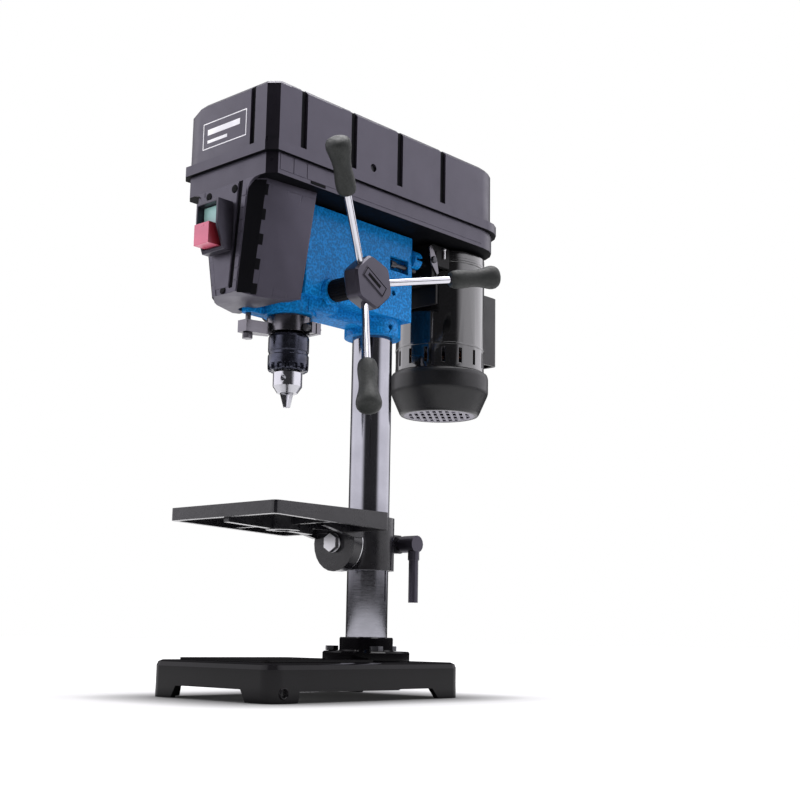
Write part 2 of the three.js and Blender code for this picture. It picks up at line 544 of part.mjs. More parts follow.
function driveBelt() {
  const z = PULLEY_Z + 2 * STEP_H + 6.5;
  const [r1, r2] = [STEP_R_SPINDLE[2] - 5.5, STEP_R_MOTOR[2] - 5.5];
  const [inner, outer] = [1, 5.6].map((grow) => beltLine(r1, r2, grow));
  const flank = beltLine(r1, r2, 5.8);
  return cut(slab(outer, z - 4, z + 4), slab(inner, z - 20, z + 20),
    loft(flank, z - 4.1, inner, z - 1.8), loft(inner, z + 1.8, flank, z + 4.1));
}

function caseOutline(inset) {
  return outline(-CASE.w + inset, CASE.w - inset, CASE.y0 + inset, CASE.y1 - inset,
    10, CASE.corner - inset, 5, true);
}

function lowerCase() {
  let body = slab(caseOutline(0), CASE.z0, CASE.split - GAP);
  body = cut(body, slab(caseOutline(3), CASE.z0 + 3, CASE.split + 1));
  body = body.add(cylZ(26, CASE.z0 + 0.5, CASE.z0 + 5, 0, SPINDLE_Y, 32));
  body = cut(body, cylZ(21, 515, 560, 0, SPINDLE_Y, 32));
  const motorWay = join(cylZ(26, 515, 560, 0, MOTOR.y, 32), cylZ(26, 515, 560, 0, MOTOR.y - 12, 32));
  body = cut(body, motorWay);
  const boss = cylX(6, 60, 68, -79, 541, 16);
  body = join(body, cut(boss, box(50, 80, -90, -60, CASE.split - GAP, 560)));
  const hinge = [-150, 90].map((y) => hingeEar(y - 14, y + 14, -1));
  return cut(join(body, ...hinge), ...[-150, 90].map((y) => cylY(1.9, y - 40, y + 40, -78.6, 545.8, 8)));
}

// Knuckle of the lid hinge on the left side.
function hingeEar(y0, y1, down) {
  const z = 545.8;
  const leaf = down < 0 ? box(-78.6, -66, y0, y1, z - 9, z - 4.1) : box(-78.6, -71, y0, y1, z + 4.1, z + 9);
  const link = down < 0 ? box(-82, -76, y0, y1, z - 9, z) : box(-82, -76, y0, y1, z, z + 9);
  return join(leaf, link, cylY(3.6, y0, y1, -78.6, z, 10));
}

function lidOutline(inset, rim = false) {
  const [w, y0, y1] = rim ? [LID.rimW, LID.rimY0, LID.rimY1] : [LID.w, LID.y0, LID.y1];
  return outline(-w + inset, w - inset, y0 + inset, y1 - inset, 11, CASE.corner + 2 - inset, 5,
    rim || [27, 11]);
}

function lid() {
  const { top, split, rim } = CASE;
  let body = join(slab(lidOutline(0), split, top - 5), loft(lidOutline(0), top - 5.01, lidOutline(5), top),
    slab(lidOutline(0, true), split, rim));
  const cuts = [];
  for (const g of [-183, -109, -35, 39]) {
    for (const s of [-1, 1]) {
      const x = s * LID.w;
      const [x0, x1] = s > 0 ? [x - 4, x + 1] : [x, x + 4];
      cuts.push(box(x0, x1, g - 3.3, g + 3.3, rim, top + 1));
      cuts.push(slab([[x + s, g - 21], [x - s * 2.2, g - 18.5], [x - s * 2.2, g - 3], [x + s, g - 3]],
        rim, top + 1));
    }
    cuts.push(box(-LID.w - 1, LID.w + 1, g - 3.3, g + 3.3, top - 1.6, top + 1));
  }
  cuts.push(box(36.5, 43.5, LID.y0 - 1, LID.y0 + 3.4, rim, top + 1));
  body = cut(body, ...cuts);
  const inside = slab(outline(-LID.w + 6.2, LID.w - 6.2, LID.y0 + 5.6, LID.y1 - 3.2, 9, CASE.corner - 3,
    5, [24, 9.8]), split - 1, top - 4);
  body = cut(body, inside);
  const ears = [-150, 90].map((y) => [[y - 26, y - 14.4], [y + 14.4, y + 26]]).flat();
  body = join(body, ...ears.map(([a, b]) => hingeEar(a, b, 1)));
  body = cut(body, ...[-150, 90].map((y) => cylY(1.9, y - 40, y + 40, -78.6, 545.8, 8)));
  return cut(body, cylX(4.6, 66, 80, -79, 567.5, 16), cylX(2.4, 50, 80, -79, 567.5, 12));
}

function belts() {
  piece("belt_case", lowerCase(), "#17171c", 0.5, 0);
  piece("belt_case_lid", lid(), "#18181d", 0.45, 0);
  [-150, 90].forEach((y, i) => piece(`lid_hinge_pin_${i + 1}`, cylY(1.6, y - 25, y + 25, -78.6, 545.8, 8),
    "#9a9aa0", 0.3, 1));
  piece("lid_screw", join(cylX(4.2, 66.4, 69, -79, 567.5, 16), cylX(2.1, 60, 66.5, -79, 567.5, 12)),
    "#1f1f23", 0.4, 0.6);
  piece("spindle_pulley", steppedPulley(STEP_R_SPINDLE, SPINDLE_Y, 8.4, 9), "#a6a8ac", 0.4, 1);
  piece("pulley_bearing", tubeZ(20, 14.8, HEAD.z1 + GAP, 529, 0, SPINDLE_Y, 32), "#9a9aa0", 0.3, 1);
  piece("motor_pulley", steppedPulley(STEP_R_MOTOR, MOTOR.y, 7.2, 6), "#a6a8ac", 0.4, 1);
  piece("drive_belt", driveBelt(), "#141414", 0.75, 0);
}

function motorBody() {
  const { y, r, z0, z1 } = MOTOR;
  let body = tubeZ(r, r - 3, z0, z1 - 3, 0, y, 32).add(tubeZ(r, 22, z1 - 6, z1, 0, y, 32));
  const slots = [];
  for (let i = 0; i < 16; i++) {
    const g = new THREE.BoxGeometry(10, 4, 18);
    g.translate(r, 0, 392).rotateZ((i / 16) * 2 * Math.PI).translate(0, y, 0);
    slots.push(solid(g));
  }
  body = cut(body, ...slots);
  return body.add(tubeZ(r + 0.5, r - 1, 508, 511, 0, y, 32));
}

function endBell() {
  const { y, bellR } = MOTOR;
  const body = lathe([[43, 326], [46.8, 326], [bellR, 353], [bellR, 372.5], [bellR - 2, 377.6], [50, 377.6],
    [50, 374], [bellR - 3.4, 371], [bellR - 3.4, 354], [44.6, 329.5], [43, 329.5], [43, 326]], 0, y, 32);
  const bars = [cylZ(43.5, 326.4, 329.4, 0, y, 28)];
  let grille = bars[0];
  for (let i = -4; i <= 4; i++) {
    const half = Math.sqrt(Math.max(0, 38 * 38 - (i * 8.4) ** 2));
    const g = new THREE.BoxGeometry(2 * half, 4.2, 12);
    g.translate(0, i * 8.4, 328).rotateZ(Math.PI / 5).translate(0, y, 0);
    grille = grille.subtract(solid(g));
  }
  return body.add(grille);
}

function motorFan() {
  const { y } = MOTOR;
  const blades = [];
  for (let i = 0; i < 8; i++) {
    const g = new THREE.BoxGeometry(30, 1.6, 22);
    g.translate(26, 0, 351).rotateZ((i / 8) * 2 * Math.PI).translate(0, y, 0);
    blades.push(solid(g));
  }
  const body = join(cylZ(13, 338, 362, 0, y, 24), cylZ(40, 360, 362, 0, y, 32), ...blades);
  return cut(body, cylZ(6.3, 330, 370, 0, y, 20));
}

function motorPlate() {
  const wing = (x) => box(x - 3, x + 3, 52, 84, 494, 519);
  let body = join(box(-44, 44, 52, 58, 470, 519), wing(-41), wing(41));
  body = cut(body, cylZ(MOTOR.r + 0.8, 460, 525, 0, MOTOR.y, 32));
  const bars = [-1, 1].map((s) => cylY(BAR.r, -24, 53, s * BAR.x, BAR.z, 16));
  return join(body, ...bars);
}

function motor() {
  const { y } = MOTOR;
  piece("motor_body", motorBody(), "#141418", 0.35, 0.2);
  piece("motor_end_bell", endBell(), "#1b1b20", 0.5, 0);
  piece("motor_rotor", join(cylZ(6, 336, 600, 0, y, 20), cylZ(38, 412, 470, 0, y, 32)), "#8f9095", 0.35, 0.9);
  piece("motor_fan", motorFan(), "#232327", 0.6, 0);
  const coil = tubeZ(50.6, 39, 406, 476, 0, y, 28);
  piece("motor_stator", coil, "#7a4a2a", 0.6, 0.3);
  piece("motor_plate", motorPlate(), "#17171b", 0.4, 0.3);
  piece("terminal_box", cut(slab(outline(-29, 29, y + 40, 196, 3, 6, 3), 396, 483),
    cylZ(MOTOR.r + GAP, 380, 490, 0, y, 32), slab(outline(-25, 25, y + 57, 192, 2, 3, 2), 390, 479)),
  "#17171b", 0.45, 0);
  piece("tension_lock_screw", join(cylY(3, 0, 35.4, 31.3, 483, 12), cylY(4.6, -7, 0.5, 31.3, 483, 16)),
    "#1a1a1d", 0.4, 0.7);
}

// ---- front cover --------------------------------------------------------------------------
function coverOutline(f, cx, cy, sx, sy, y0, inset) {
  const i = inset;
  return [[-f + i * 0.4, y0 + i], [f - i * 0.4, y0 + i], [cx - i, cy + i * 0.4], [sx - i, sy],
    [-sx + i, sy], [-cx + i, cy + i * 0.4]];
}

function frontCover() {
  const top = (i) => coverOutline(36, 51, -214, 58, -150, -226, i);
  const low = (i) => coverOutline(18, 28, -210, 48, -160, -222, i);
  let body = loft(low(0), 403, top(0), CASE.z0 - GAP);
  const hollow = loft(coverOutline(18, 28, -210, 48, -100, -222, 3.2), 410, coverOutline(36, 51, -214, 58, -90,
    -226, 3.2), CASE.z0 + 1);
  body = cut(body, hollow);
  const toe = slabX([[-230, 400], [-196, 400], [-222, 407], [-230, 420]], -60, 60);
  const heel = slabX([[-190, 400], [-140, 400], [-140, 410]], -60, 60);
  body = cut(body, toe, heel, cylZ(34, 390, 425, 0, SPINDLE_Y, 28), cylZ(11, 390, 430, -18, -173, 20),
    box(-30, 30, -170, -130, 390, 425));
  body = cut(body, box(-18.6, 9.6, -240, -200, 453.4, 498.6));
  const groove = loft([[6, -226], [11.6, -226], [11.6, -218.8], [6, -218.8]], 405,
    [[21.6, -230], [28, -230], [28, -222.9], [21.6, -222.9]], 525);
  return cut(body, groove.intersect(box(-60, 60, -240, -200, 412, 525)),
    ...[[-26, 516], [15, 516]].map(([x, z]) => cylY(4.3, -240, -222.6, x, z, 20)));
}

function frontUnit() {
  piece("front_cover", frontCover(), "#17171c", 0.45, 0);
  let housing = cut(box(-21.5, 14, -246, -226.6, 449.5, 502), box(-19, 10.5, -260, -229, 453, 499));
  housing = cut(housing, slabX([[-260, 440], [-232, 440], [-248, 478], [-260, 478]], -40, 28));
  housing = housing.add(cut(box(-18, 9, -227, -212, 454, 498), box(-15, 6, -226.5, -205, 457, 495)));
  housing = cut(housing, box(-14, 5, -240, -226, 459, 493));
  piece("switch_housing", housing, "#1b1b20", 0.45, 0);
  piece("button_on", join(box(-18.6, 10, -238, -232.5, 478.3, 498.4), box(-13, 4, -233, -216, 480, 492)),
    "#9fc7b4", 0.4, 0);
  piece("button_off", join(box(-18.6, 5, -250, -232.5, 455, 477.7), box(-13, 4, -233, -216, 461, 476)),
    "#b3202c", 0.4, 0);
}

// ---- assembly -------------------------------------------------------------------------------
stand();
table();
piece("head_casting", headCasting(), "#1e6fae", 0.45, 0.2);
piece("head_set_screw", cut(cylX(3, 24, 33, -4, 448, 12), hexX(3, 30, 40, -4, 448)), "#26262a", 0.4, 0.8);
spindleGroup();
feed();
belts();
motor();
frontUnit();

export default press;
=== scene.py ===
# Looks of a bench drill press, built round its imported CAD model. Lengths in the helpers are
# millimetres from the column's axis, and P() turns them into the row's frame in metres.
from math import cos, pi, radians, sin, sqrt

import bmesh
import bpy
from mathutils import Matrix, Vector

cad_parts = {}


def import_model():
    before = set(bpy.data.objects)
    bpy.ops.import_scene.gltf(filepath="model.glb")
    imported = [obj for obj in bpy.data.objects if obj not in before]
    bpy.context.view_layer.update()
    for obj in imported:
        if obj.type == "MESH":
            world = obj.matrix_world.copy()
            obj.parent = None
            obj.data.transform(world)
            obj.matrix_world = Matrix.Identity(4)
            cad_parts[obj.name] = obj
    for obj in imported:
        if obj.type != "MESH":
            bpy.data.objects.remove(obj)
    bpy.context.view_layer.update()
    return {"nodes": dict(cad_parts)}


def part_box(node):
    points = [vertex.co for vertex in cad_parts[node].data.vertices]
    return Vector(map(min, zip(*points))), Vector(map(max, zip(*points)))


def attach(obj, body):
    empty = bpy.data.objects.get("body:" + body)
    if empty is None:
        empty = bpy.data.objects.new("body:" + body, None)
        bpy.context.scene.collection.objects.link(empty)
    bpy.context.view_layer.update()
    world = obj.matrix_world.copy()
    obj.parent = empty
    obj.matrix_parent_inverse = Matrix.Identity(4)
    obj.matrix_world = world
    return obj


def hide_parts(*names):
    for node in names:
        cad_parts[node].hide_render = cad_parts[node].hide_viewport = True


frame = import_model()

NODES = frame["nodes"]

lo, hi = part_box("column_tube")
COLUMN = (lo + hi) / 2


def P(x, y, z):
    return Vector((COLUMN.x + x / 1000, COLUMN.y + y / 1000, z / 1000))


# ---- materials ----------------------------------------------------------------------------
class Nodes:
    """Small helper that wires one material."""

    def __init__(self, name, **shader):
        self.mat = bpy.data.materials.new(name)
        self.mat.use_nodes = True
        self.tree = self.mat.node_tree
        self.bsdf = self.tree.nodes["Principled BSDF"]
        for key, value in shader.items():
            self.bsdf.inputs[key.replace("_", " ")].default_value = value
        self.coord = self.tree.nodes.new("ShaderNodeTexCoord").outputs["Object"]

    def add(self, kind, link=None, **values):
        n = self.tree.nodes.new("ShaderNode" + kind)
        for key, value in values.items():
            if hasattr(n, key):
                setattr(n, key, value)
            else:
                n.inputs[key.replace("_", " ")].default_value = value
        for key, source in (link or {}).items():
            self.tree.links.new(source, n.inputs[key])
        return n

    def scaled(self, x, y, z):
        return self.add("Mapping", {"Vector": self.coord}, Scale=(x, y, z)).outputs[0]

    def noise(self, scale, detail=3, at=None, rough=0.55):
        return self.add("TexNoise", {"Vector": at or self.coord}, Scale=scale, Detail=detail,
                        Roughness=rough).outputs["Fac"]

    def ramp(self, fac, *stops):
        r = self.add("ValToRGB", {"Fac": fac})
        e = r.color_ramp.elements
        while len(e) < len(stops):
            e.new(0.5)
        for item, (at, colour) in zip(e, stops):
            item.position = at
            item.color = (*colour, 1) if isinstance(colour, tuple) else (colour, colour, colour, 1)
        return r.outputs["Color"]

    def range(self, fac, low, high, a=0.3, b=0.7):
        return self.add("MapRange", {"Value": fac}, **{"From_Min": a, "From_Max": b, "To_Min": low,
                                                       "To_Max": high}).outputs[0]

    def to(self, socket, source):
        self.tree.links.new(source, self.bsdf.inputs[socket])
        return self

    def bump(self, *layers):
        """Each layer is (height, strength, distance in metres)."""
        last = None
        for height, strength, distance in layers:
            b = self.add("Bump", {"Height": height}, Strength=strength, Distance=distance)
            if last:
                self.tree.links.new(last, b.inputs["Normal"])
            last = b.outputs["Normal"]
        self.tree.links.new(last, self.bsdf.inputs["Normal"])
        return self.mat


def tint(c, k):
    return tuple(min(1, v * k) for v in c)


def plastic(name, colour, rough=0.42, grain=0.35, scale=1800, shine=0.62):
    m = Nodes(name, Roughness=rough, Specular_IOR_Level=shine)
    if shine > 0.5:
        m.bsdf.inputs["Specular Tint"].default_value = (0.82, 0.77, 1.0, 1)
    cloud = m.noise(22, 4)
    m.to("Base Color", m.ramp(cloud, (0.3, tint(colour, 0.85)), (0.7, tint(colour, 1.2))))
    m.to("Roughness", m.range(m.noise(60, 4), rough - 0.05, rough + 0.06))
    pits = m.add("TexVoronoi", {"Vector": m.coord}, Scale=scale).outputs["Distance"]
    return m.bump((pits, grain, 0.00012), (m.noise(9, 2), 0.12, 0.001))


def enamel(name, colour, rough=0.2, peel=0.1, coat=0.35, ior=1.5, shine=0.5):
    m = Nodes(name, Roughness=rough, Specular_IOR_Level=shine, Coat_Weight=coat, Coat_Roughness=0.06,
              Coat_IOR=ior)
    m.to("Base Color", m.ramp(m.noise(30, 5), (0.35, tint(colour, 0.8)), (0.68, tint(colour, 1.3))))
    m.to("Roughness", m.range(m.noise(45, 5), rough - 0.05, rough + 0.1))
    return m.bump((m.noise(320, 2), peel, 0.0004), (m.noise(60, 3), peel * 1.3, 0.0012))


def hammered(name, colour):
    m = Nodes(name, Roughness=0.4, Specular_IOR_Level=0.0, Coat_Weight=0.22, Coat_Roughness=0.22)
    warp = m.noise(240, 3)
    cells = m.add("TexVoronoi", {"Vector": m.coord}, feature="SMOOTH_F1", Scale=430, Smoothness=0.6)
    spots = cells.outputs["Distance"]
    m.to("Base Color", m.ramp(spots, (0.12, tint(colour, 0.72)), (0.45, colour),
                              (0.75, tint(colour, 1.5))))
    m.to("Roughness", m.range(warp, 0.32, 0.5))
    return m.bump((spots, 0.6, 0.0006), (warp, 0.35, 0.0006))


def steel(name, colour=(0.62, 0.62, 0.65), rough=0.22, along=(1, 1, 60), lines=0.12, aniso=0.4):
    """Turned or drawn metal: fine lines squeezed along one axis."""
    m = Nodes(name, Metallic=1.0, Roughness=rough, Anisotropic=aniso)
    streak = m.noise(60, 5, m.scaled(*along), 0.7)
    m.to("Base Color", m.ramp(m.noise(26, 4), (0.3, tint(colour, 0.88)), (0.7, tint(colour, 1.08))))
    m.to("Roughness", m.range(streak, rough - 0.05, rough + 0.08))
    return m.bump((streak, lines, 0.00008), (m.noise(500, 2), 0.03, 0.0001))


def oxide(name, colour=(0.05, 0.05, 0.055), rough=0.32):
    m = Nodes(name, Metallic=0.9, Roughness=rough)
    m.to("Base Color", m.ramp(m.noise(90, 5), (0.3, tint(colour, 0.7)), (0.72, tint(colour, 1.9))))
    m.to("Roughness", m.range(m.noise(150, 4), rough - 0.08, rough + 0.12))
    return m.bump((m.noise(900, 3), 0.12, 0.0001),)


def grip(name, colour):
    m = Nodes(name, Roughness=0.55, Specular_IOR_Level=0.3)
    speck = m.noise(900, 4, None, 0.75)
    m.to("Base Color", m.ramp(speck, (0.35, tint(colour, 0.6)), (0.62, tint(colour, 1.5))))
    m.to("Roughness", m.range(m.noise(300, 3), 0.45, 0.68))
    return m.bump((speck, 0.5, 0.00025), (m.noise(80, 3), 0.15, 0.0008))


def winding(name):
    m = Nodes(name, Metallic=0.6, Roughness=0.4)
    wave = m.add("TexWave", {"Vector": m.coord}, bands_direction="Z", Scale=300, Distortion=1.0)
    m.to("Base Color", m.ramp(wave.outputs["Fac"], (0.1, (0.12, 0.03, 0.01)), (0.8, (0.55, 0.2, 0.07))))
    return m.bump((wave.outputs["Fac"], 0.8, 0.0005),)


MAT = {
    "shell": plastic("shell_plastic", (0.016, 0.014, 0.020), 0.36, 0.3),
    # darker, duller copy of the shell plastic: painted shade for the lid's and case's front corner faces
    "edge": plastic("shell_edge_plastic", (0.006, 0.005, 0.008), 0.3, 0.3, shine=0.2),
    "cover": plastic("cover_plastic", (0.022, 0.020, 0.027), 0.40, 0.35, shine=0.75),
    # near-black plastic: the own colour of marks, frames and inner parts, and painted shade where it fills
    # grooves, wells, the cable slot, the cover's corners and the case's underside
    "dark": plastic("recess_plastic", (0.002, 0.002, 0.003), 0.6, 0.3, shine=0.06),
    "hub": plastic("hub_plastic", (0.010, 0.009, 0.012), 0.33, 0.25),
    "bell": plastic("bell_plastic", (0.004, 0.004, 0.005), 0.36, 0.5, 1400, 0.36),
    "base": enamel("base_enamel", (0.003, 0.0026, 0.0034), 0.2, 0.08, 0.5, 1.36, 0.0),
    "table": enamel("table_paint", (0.007, 0.0066, 0.0085), 0.26, 0.2, 0.24, 1.45, 0.3),
    "grille": plastic("grille_plastic", (0.10, 0.095, 0.115), 0.4, 0.2, shine=0.9),
    "dull": enamel("plate_enamel", (0.003, 0.003, 0.0035), 0.4, 0.1, 0.0, 1.5, 0.16),
    "motor": enamel("motor_enamel", (0.002, 0.002, 0.0025), 0.14, 0.05, 1.0, 1.62),
    "blue": hammered("hammered_blue", (0.006, 0.155, 0.42)),
    "column": steel("column_steel", (0.27, 0.27, 0.30), 0.11, (1, 1, 90), 0.04, 0.2),
    "rod": steel("lever_chrome", (0.50, 0.50, 0.54), 0.1, (30, 30, 30), 0.03, 0.0),
    "chuck": steel("chuck_steel", (0.42, 0.42, 0.45), 0.14, (1, 1, 80), 0.08, 0.5),
    "turned": steel("turned_steel", (0.30, 0.30, 0.33), 0.26, (1, 1, 70), 0.2, 0.5),
    "dim": steel("dark_steel", (0.13, 0.125, 0.14), 0.2, (1, 1, 60), 0.12, 0.3),
    "drawn": steel("drawn_steel", (0.45, 0.45, 0.47), 0.3, (40, 1, 1), 0.15, 0.3),
    "sleeve": oxide("sleeve_black_oxide", (0.034, 0.036, 0.050), 0.2),
    "oxide": oxide("screw_black_oxide"),
    "bolt": steel("zinc_bolt", (0.62, 0.62, 0.64), 0.3, (20, 20, 20), 0.12, 0.0),
    "alu": steel("cast_aluminium", (0.62, 0.63, 0.65), 0.34, (1, 1, 50), 0.25, 0.3),
    "grip": grip("knob_grip", (0.013, 0.0145, 0.0135)),
    "rubber": grip("belt_rubber", (0.012, 0.012, 0.012)),
    "winding": winding("stator_winding"),
    "green": plastic("button_green", (0.34, 0.62, 0.57), 0.3, 0.1),
    "red": plastic("button_red", (0.55, 0.11, 0.17), 0.3, 0.1),
    # darker copy of the button red: painted shade for the button's side
    "red_painted_shade": plastic("button_red_side", (0.16, 0.010, 0.016), 0.35, 0.1),
    "white": plastic("label_white", (0.85, 0.85, 0.88), 0.45, 0.1),
}


# ---- carried-over CAD nodes -----------------------------------------------------------------
def dress(names, key, bevel=0.6, segments=3, angle=24, merge_flats=True):
    """Gives CAD nodes their material, broken edges and smooth round faces."""
    for name in names.split():
        o = NODES[name]
        o.data.materials.clear()
        o.data.materials.append(MAT[key])
        for p in o.data.polygons:
            p.use_smooth = True
            p.material_index = 0
        w = o.modifiers.new("weld", "WELD")
        w.merge_threshold = 0.000002
        if merge_flats:
            d = o.modifiers.new("flats", "DECIMATE")
            d.decimate_type = "DISSOLVE"
            d.angle_limit = radians(0.6)
        if bevel:
            b = o.modifiers.new("edges", "BEVEL")
            b.width = bevel / 1000
            b.segments = segments
            b.limit_method = "ANGLE"
            b.angle_limit = radians(angle)
            b.use_clamp_overlap = True
            b.miter_outer = "MITER_ARC"
        n = o.modifiers.new("normals", "WEIGHTED_NORMAL")
        n.keep_sharp = False
        n.weight = 60


dress("base_casting", "base", 1.4, 3)
dress("column_flange", "base", 0.8)
dress("flange_bolt_1 flange_bolt_2 flange_bolt_3 table_clamp_screw", "oxide", 0.4, 2)
dress("column_tube", "column", 0.5)
dress("column_bushing", "dark", 0.2, 1)
dress("table_bracket", "table", 0.9)
dress("table_plate", "table", 0.6, 2, merge_flats=False)
dress("table_clamp_lever", "hub", 0.9)
dress("table_tilt_bolt", "bolt", 0.7)
dress("head_casting", "blue", 1.0)
dress("head_set_screw depth_collar_screw tension_lock_screw lid_screw", "oxide", 0.3, 2)
dress("quill quill_bearing_lower quill_bearing_upper spindle pulley_bearing return_spring", "turned", 0.2, 1)
dress("chuck_body chuck_jaw_1 chuck_jaw_2 chuck_jaw_3", "chuck", 0.25, 2)
dress("chuck_sleeve", "sleeve", 0.4, 2)
dress("depth_stop_collar depth_stop_rod", "dim", 0.4, 2)
dress("depth_stop_nut feed_shaft", "turned", 0.3, 2)
dress("feed_hub", "hub", 1.4, 3)
dress("feed_hub_cap", "hub", 0.8, 3)
dress("feed_lever_rod_1 feed_lever_rod_2 feed_lever_rod_3", "rod", 0)
dress("feed_lever_knob_1 feed_lever_knob_2 feed_lever_knob_3", "grip", 0)
dress("return_spring_cup", "base", 0.8)
dress("belt_case", "shell", 0.9)
dress("belt_case_lid", "shell", 1.0)
dress("lid_hinge_pin_1 lid_hinge_pin_2", "turned", 0.2, 1)
dress("spindle_pulley motor_pulley", "alu", 0.4, 2)
dress("drive_belt", "rubber", 0.3, 2)
dress("motor_body", "motor", 0.5, 2)
dress("motor_end_bell", "bell", 0.7, 2)
dress("motor_rotor", "turned", 0.4, 2)
dress("motor_fan", "dark", 0.3, 1)
dress("motor_stator", "winding", 0.3, 1)
dress("motor_plate", "dull", 0.7)
dress("terminal_box", "bell", 1.2, 3)
dress("front_cover", "cover", 1.0)
dress("switch_housing", "hub", 0.7)
dress("button_on", "green", 0.8)
dress("button_off", "red", 0.8)


def second_material(name, key, wanted):
    """Faces for which wanted(normal, centre in millimetres) holds get another material."""
    o = NODES[name]
    o.data.materials.append(MAT[key])
    turn = o.matrix_world
    for p in o.data.polygons:
        c = turn @ p.center
        if wanted((turn.to_3x3() @ p.normal).normalized(), (c - P(0, 0, 0)) * 1000):
            p.material_index = len(o.data.materials) - 1


def is_corner(n, c):
    return n.x > 0.45 and n.y < -0.45 and abs(n.z) < 0.6 and c.y < -200


# painted shade: front corner faces get a darker copy of the shell plastic, and downward faces low on the case
# get near-black plastic
for name in ("belt_case_lid", "belt_case"):
    second_material(name, "edge", is_corner)
    # near-black on the downward faces: painted shade under the case
    second_material(name, "dark", lambda n, c: n.z < -0.6 and c.z < 560)
# painted shade: the off button's +X side gets a darker copy of its red
second_material("button_off", "red_painted_shade", lambda n, c: n.x > 0.7)


# ---- mesh helpers ---------------------------------------------------------------------------
def piece(name, bm, key, body="frame", stands_for=(), sharp=32, bevel=0.0, segments=2, angle=30, slot=None):
    """Turns a bmesh drawn in millimetres from the column's axis into a finished piece."""
    bmesh.ops.remove_doubles(bm, verts=bm.verts, dist=0.0005)
    bmesh.ops.recalc_face_normals(bm, faces=bm.faces)
    for v in bm.verts:
        v.co = P(*v.co)
    me = bpy.data.meshes.new(name)
    bm.to_mesh(me)
    bm.free()
    for p in me.polygons:
        p.use_smooth = True
    keys = key.split()
    for k in keys:
        me.materials.append(MAT[k])
    o = bpy.data.objects.new(name, me)
    bpy.context.scene.collection.objects.link(o)
    if bevel:
        b = o.modifiers.new("edges", "BEVEL")
        b.width = bevel / 1000
        b.segments = segments
        b.limit_method = "ANGLE"
        b.angle_limit = radians(angle)
        n = o.modifiers.new("normals", "WEIGHTED_NORMAL")
        n.weight = 60
    else:
        me.set_sharp_from_angle(angle=radians(sharp))
    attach(o, body)
    if stands_for:
        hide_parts(*stands_for)
    return o


def rounded(profile, r, n=4):
    """Rounds the corners of an open polyline of (x, y) pairs by about r."""
    out = [Vector(profile[0])]
    for a, b, c in zip(profile, profile[1:], profile[2:]):
        a, b, c = Vector(a), Vector(b), Vector(c)
        u, v = (a - b), (c - b)
        d = min(r, u.length * 0.45, v.length * 0.45)
        p, q = b + u.normalized() * d, b + v.normalized() * d
        for i in range(n + 1):
            t = i / n
            out.append(p * (1 - t) ** 2 + b * 2 * t * (1 - t) + q * t ** 2)
    out.append(Vector(profile[-1]))
    return out


def revolve(profile, at=(0, 0, 0), axis=(0, 0, 1), seg=96, radius=None, closed=False):
    """Turns (r, height) pairs about an axis. radius(r, h, angle) may vary the radius."""
    bm = bmesh.new()
    turn = Vector(axis).normalized().to_track_quat("Z", "Y").to_matrix()
    rows = []
    for r, h in profile:
        row = []
        for i in range(1 if r < 1e-4 else seg):
            a = 2 * pi * i / seg
            k = radius(r, h, a) if radius else r
            row.append(bm.verts.new(Vector(at) + turn @ Vector((k * cos(a), k * sin(a), h))))
        rows.append(row)
    pairs = list(zip(rows, rows[1:])) + ([(rows[-1], rows[0])] if closed else [])
    for a, b in pairs:
        for i in range(seg):
            j = (i + 1) % seg
            ring = [a[i % len(a)], a[j % len(a)], b[j % len(b)], b[i % len(b)]]
            ring = [v for k, v in enumerate(ring) if v not in ring[:k]]
            if len(ring) > 2:
                bm.faces.new(ring)
    return bm


def prism(points, lift):
    """Solid between a loop of 3-D points and the same loop moved by lift."""
    bm = bmesh.new()
    low = [bm.verts.new(Vector(p)) for p in points]
    high = [bm.verts.new(Vector(p) + Vector(lift)) for p in points]
    bm.faces.new(low[::-1])
    bm.faces.new(high)
    for i in range(len(low)):
        j = (i + 1) % len(low)
        bm.faces.new((low[i], low[j], high[j], high[i]))
    return bm


def block(x0, x1, y0, y1, z0, z1):
    return prism([(x0, y0, z0), (x1, y0, z0), (x1, y1, z0), (x0, y1, z0)], (0, 0, z1 - z0))


class Quad:
    """Four corners of a flat wall: low-left, low-right, top-right, top-left, seen from outside."""

    def __init__(self, *corners):
        self.c = [Vector(c) for c in corners]
        self.n = (self.c[1] - self.c[0]).cross(self.c[3] - self.c[0]).normalized()

    def at(self, u, v, out=0.0):
        a, b, c, d = self.c
        return (a * (1 - u) + b * u) * (1 - v) + (d * (1 - u) + c * u) * v + self.n * out

    def plate(self, uv, sink, rise):
        return prism([self.at(u, v, -sink) for u, v in uv], self.n * (sink + rise))

    def field(self, u0, u1, v0, v1, sink, rise, n=14):
        """Raised patch that follows a slightly twisted wall."""
        bm = bmesh.new()
        grids = []
        for out in (-sink, rise):
            grids.append([[bm.verts.new(self.at(u0 + (u1 - u0) * i / n, v0 + (v1 - v0) * j / n, out))
                           for i in range(n + 1)] for j in range(n + 1)])
        low, high = grids
        for j in range(n):
            for i in range(n):
                bm.faces.new((high[j][i], high[j][i + 1], high[j + 1][i + 1], high[j + 1][i]))
                bm.faces.new((low[j][i], low[j + 1][i], low[j + 1][i + 1], low[j][i + 1]))
        for k in range(n):
            for a, b in (((0, k), (0, k + 1)), ((n, k + 1), (n, k)), ((k + 1, 0), (k, 0)),
                         ((k, n), (k + 1, n))):
                bm.faces.new((low[a[0]][a[1]], low[b[0]][b[1]], high[b[0]][b[1]], high[a[0]][a[1]]))
        return bm


# ---- front cover ------------------------------------------------------------------------------
TOP, LOW = 522.6, 403.5


